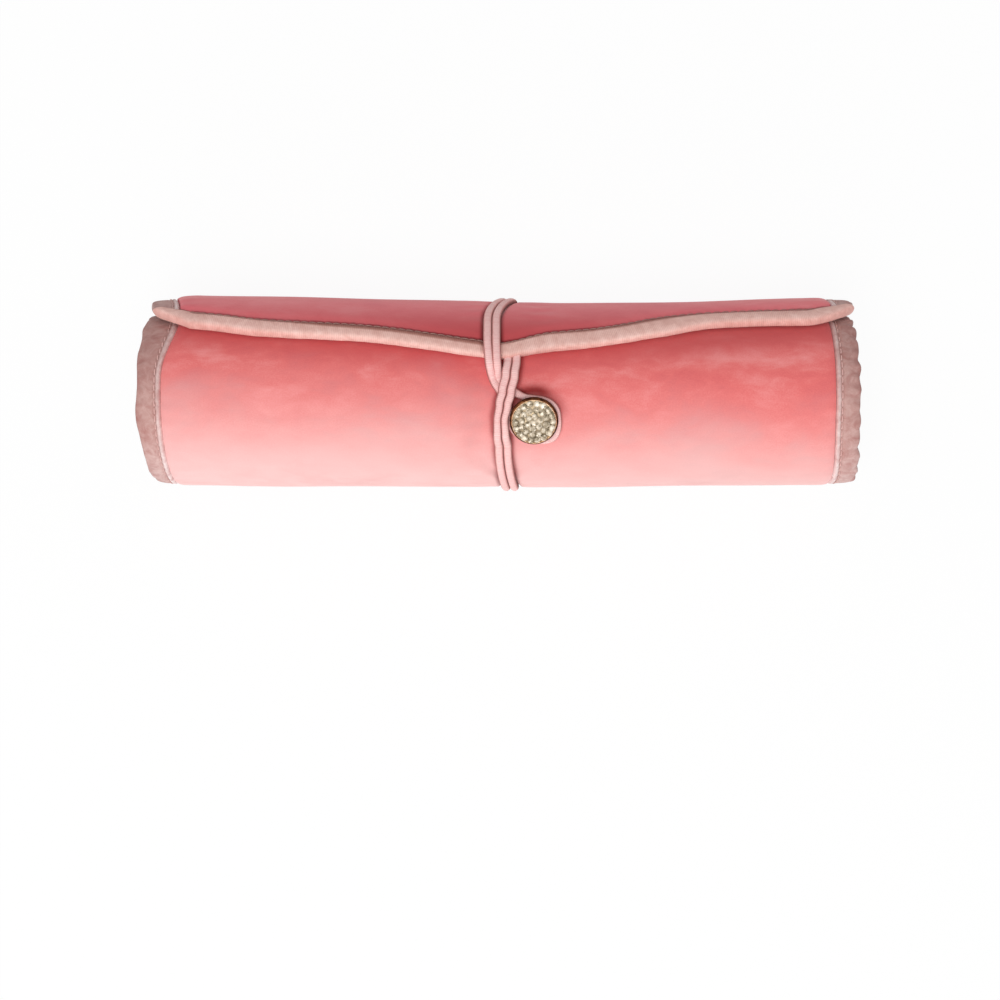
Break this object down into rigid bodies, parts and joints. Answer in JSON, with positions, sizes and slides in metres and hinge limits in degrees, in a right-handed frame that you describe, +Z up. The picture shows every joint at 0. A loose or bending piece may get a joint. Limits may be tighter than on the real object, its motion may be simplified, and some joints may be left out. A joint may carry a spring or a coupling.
{
  "type": "jewelry roll",
  "caption": "Padded velvet jewelry roll with bound edges, rolled shut and held by a doubled elastic looped over a stone-set button.",
  "frame": {"origin": "on the resting surface, under the middle of the rolled-up case's bounding box", "axes": "+X along the roll, +Y to the back, away from the button side, +Z up"},
  "size_m": [0.23, 0.0651, 0.0651],
  "materials": {
    "velvet": "short-pile velvet with cloudy, brushed nap",
    "lining": "smooth blush satin",
    "side_ribbon": "dusty mauve matte ribbon, stitched",
    "edge_ribbon": "pale pink ribbed ribbon, stitched",
    "elastic": "pale pink covered elastic cord",
    "gold": "polished pale gold",
    "stones": "faceted champagne crystal",
    "thread": "sewing thread",
    "zip_tape": "woven zip tape with nylon coil"
  },
  "bodies": {
    "flap": {"cover_flap": "velvet", "lining_flap": "lining", "left_binding_flap": "side_ribbon", "right_binding_flap": "side_ribbon", "flap_edge_binding": "edge_ribbon"},
    "back": {"cover_back": "velvet", "lining_back": "lining", "left_binding_back": "side_ribbon", "right_binding_back": "side_ribbon"},
    "base": {"cover_base": "velvet", "lining_base": "lining", "left_binding_base": "side_ribbon", "right_binding_base": "side_ribbon"},
    "front_low": {"cover_front_low": "velvet", "lining_front_low": "lining", "left_binding_front_low": "side_ribbon", "right_binding_front_low": "side_ribbon", "pocket_panel_1": "lining"},
    "front_high": {"cover_front_high": "velvet", "lining_front_high": "lining", "left_binding_front_high": "side_ribbon", "right_binding_front_high": "side_ribbon", "zip_tape_1": "zip_tape"},
    "crown": {"cover_crown": "velvet", "lining_crown": "lining", "left_binding_crown": "side_ribbon", "right_binding_crown": "side_ribbon", "button_shank": "thread"},
    "tuck_1": {"cover_tuck_1": "velvet", "lining_tuck_1": "lining", "left_binding_tuck_1": "side_ribbon", "right_binding_tuck_1": "side_ribbon", "zip_tape_2": "zip_tape"},
    "tuck_2": {"cover_tuck_2": "velvet", "lining_tuck_2": "lining", "left_binding_tuck_2": "side_ribbon", "right_binding_tuck_2": "side_ribbon", "pocket_panel_2": "lining"},
    "tuck_3": {"cover_tuck_3": "velvet", "lining_tuck_3": "lining", "left_binding_tuck_3": "side_ribbon", "right_binding_tuck_3": "side_ribbon", "inner_edge_binding": "edge_ribbon", "ring_bar": "lining", "snap_socket": "gold", "snap_stud": "gold"},
    "elastic_1": {"elastic_1": "elastic"},
    "elastic_2": {"elastic_2": "elastic"},
    "elastic_3": {"elastic_3": "elastic"},
    "elastic_4": {"elastic_4": "elastic"},
    "elastic_5": {"elastic_5": "elastic"},
    "elastic_6": {"elastic_6": "elastic"},
    "elastic_loop": {"elastic_loop": "elastic"},
    "button": {"button_cup": "gold", "button_stones": "stones"},
    "slider_1": {"zip_slider_1": "gold"},
    "pull_1": {"zip_pull_1": "gold"},
    "slider_2": {"zip_slider_2": "gold"},
    "pull_2": {"zip_pull_2": "gold"}
  },
  "joints": [
    {"name": "unroll", "type": "hinge", "parent": "base", "child": "front_low", "pos_m": [0, -0.01573, 0.0028], "axis": [1, 0, 0], "range_deg": [0, 49.9], "deforming": ["elastic_1", "elastic_2", "elastic_3", "elastic_4", "elastic_5", "elastic_6", "elastic_loop"]},
    {"name": "fold_front_high", "type": "hinge", "parent": "front_low", "child": "front_high", "pos_m": [0, -0.03111, 0.02686], "axis": [1, 0, 0], "range_deg": [0, 56.1]},
    {"name": "fold_crown", "type": "hinge", "parent": "front_high", "child": "crown", "pos_m": [0, -0.02005, 0.05237], "axis": [1, 0, 0], "range_deg": [0, 63.6]},
    {"name": "fold_tuck_1", "type": "hinge", "parent": "crown", "child": "tuck_1", "pos_m": [0, 0.00656, 0.0573], "axis": [1, 0, 0], "range_deg": [0, 64.1]},
    {"name": "fold_tuck_2", "type": "hinge", "parent": "tuck_1", "child": "tuck_2", "pos_m": [0, 0.02499, 0.03853], "axis": [1, 0, 0], "range_deg": [0, 48.1]},
    {"name": "fold_tuck_3", "type": "hinge", "parent": "tuck_2", "child": "tuck_3", "pos_m": [0, 0.01987, 0.01347], "axis": [1, 0, 0], "range_deg": [0, 56.1]},
    {"name": "fold_back", "type": "hinge", "parent": "base", "child": "back", "pos_m": [0, 0.01355, 0.0021], "axis": [-1, 0, 0], "range_deg": [0, 50.2]},
    {"name": "fold_flap", "type": "hinge", "parent": "back", "child": "flap", "pos_m": [0, 0.03093, 0.02661], "axis": [-1, 0, 0], "range_deg": [0, 64.6]},
    {"name": "elastic_1_bend", "type": "hinge", "parent": "flap", "child": "elastic_1", "pos_m": [0, 0.00814, 0.06078], "axis": [-1, 0, 0], "range_deg": [0, 89.7]},
    {"name": "elastic_2_bend", "type": "hinge", "parent": "elastic_1", "child": "elastic_2", "pos_m": [0, -0.02089, 0.05336], "axis": [-1, 0, 0], "range_deg": [0, 42.3]},
    {"name": "elastic_3_bend", "type": "hinge", "parent": "elastic_2", "child": "elastic_3", "pos_m": [0, -0.0324, 0.02672], "axis": [-1, 0, 0], "range_deg": [0, 56.1]},
    {"name": "elastic_4_bend", "type": "hinge", "parent": "elastic_3", "child": "elastic_4", "pos_m": [0, -0.01634, 0.00165], "axis": [-1, 0, 0], "range_deg": [0, 56.1]},
    {"name": "elastic_5_bend", "type": "hinge", "parent": "elastic_4", "child": "elastic_5", "pos_m": [0, 0.01417, 0.00095], "axis": [-1, 0, 0], "range_deg": [0, 56.1]},
    {"name": "elastic_6_bend", "type": "hinge", "parent": "elastic_5", "child": "elastic_6", "pos_m": [0, 0.03222, 0.02647], "axis": [-1, 0, 0], "range_deg": [0, 56.1]},
    {"name": "elastic_loop_bend", "type": "hinge", "parent": "elastic_6", "child": "elastic_loop", "pos_m": [0, 0.02089, 0.0564], "axis": [-1, 0, 0], "range_deg": [0, 62]},
    {"name": "zip_slide_1", "type": "slide", "parent": "front_high", "child": "slider_1", "axis": [-1, 0, 0], "range_m": [0, 0.181]},
    {"name": "zip_pull_swing_1", "type": "hinge", "parent": "slider_1", "child": "pull_1", "pos_m": [0.0905, -0.02204, 0.03142], "axis": [0, 0.0686, 0.9976], "range_deg": [0, 170]},
    {"name": "zip_slide_2", "type": "slide", "parent": "tuck_1", "child": "slider_2", "axis": [-1, 0, 0], "range_m": [0, 0.181]},
    {"name": "zip_pull_swing_2", "type": "hinge", "parent": "slider_2", "child": "pull_2", "pos_m": [0.0905, 0.01513, 0.03901], "axis": [0, 0.4816, -0.8764], "range_deg": [0, 170]},
    {"name": "button_turn", "type": "hinge", "parent": "crown", "child": "button", "pos_m": [0.0112, -0.0102, 0.05747], "axis": [0, -0.309, 0.9511], "range_deg": [-45, 45]}
  ],
  "couplings": [
    {"joint": "fold_front_high", "follows": "unroll", "ratio": 1.123},
    {"joint": "fold_crown", "follows": "unroll", "ratio": 1.2733},
    {"joint": "fold_tuck_1", "follows": "unroll", "ratio": 1.2834},
    {"joint": "fold_tuck_2", "follows": "unroll", "ratio": 0.9628},
    {"joint": "fold_tuck_3", "follows": "unroll", "ratio": 1.1232},
    {"joint": "fold_back", "follows": "unroll", "ratio": 1.0053},
    {"joint": "fold_flap", "follows": "unroll", "ratio": 1.2932},
    {"joint": "elastic_1_bend", "follows": "unroll", "ratio": 1.7966},
    {"joint": "elastic_2_bend", "follows": "unroll", "ratio": 0.8471},
    {"joint": "elastic_3_bend", "follows": "unroll", "ratio": 1.1229},
    {"joint": "elastic_4_bend", "follows": "unroll", "ratio": 1.1229},
    {"joint": "elastic_5_bend", "follows": "unroll", "ratio": 1.1229},
    {"joint": "elastic_6_bend", "follows": "unroll", "ratio": 1.1228},
    {"joint": "elastic_loop_bend", "follows": "unroll", "ratio": 1.2423}
  ]
}
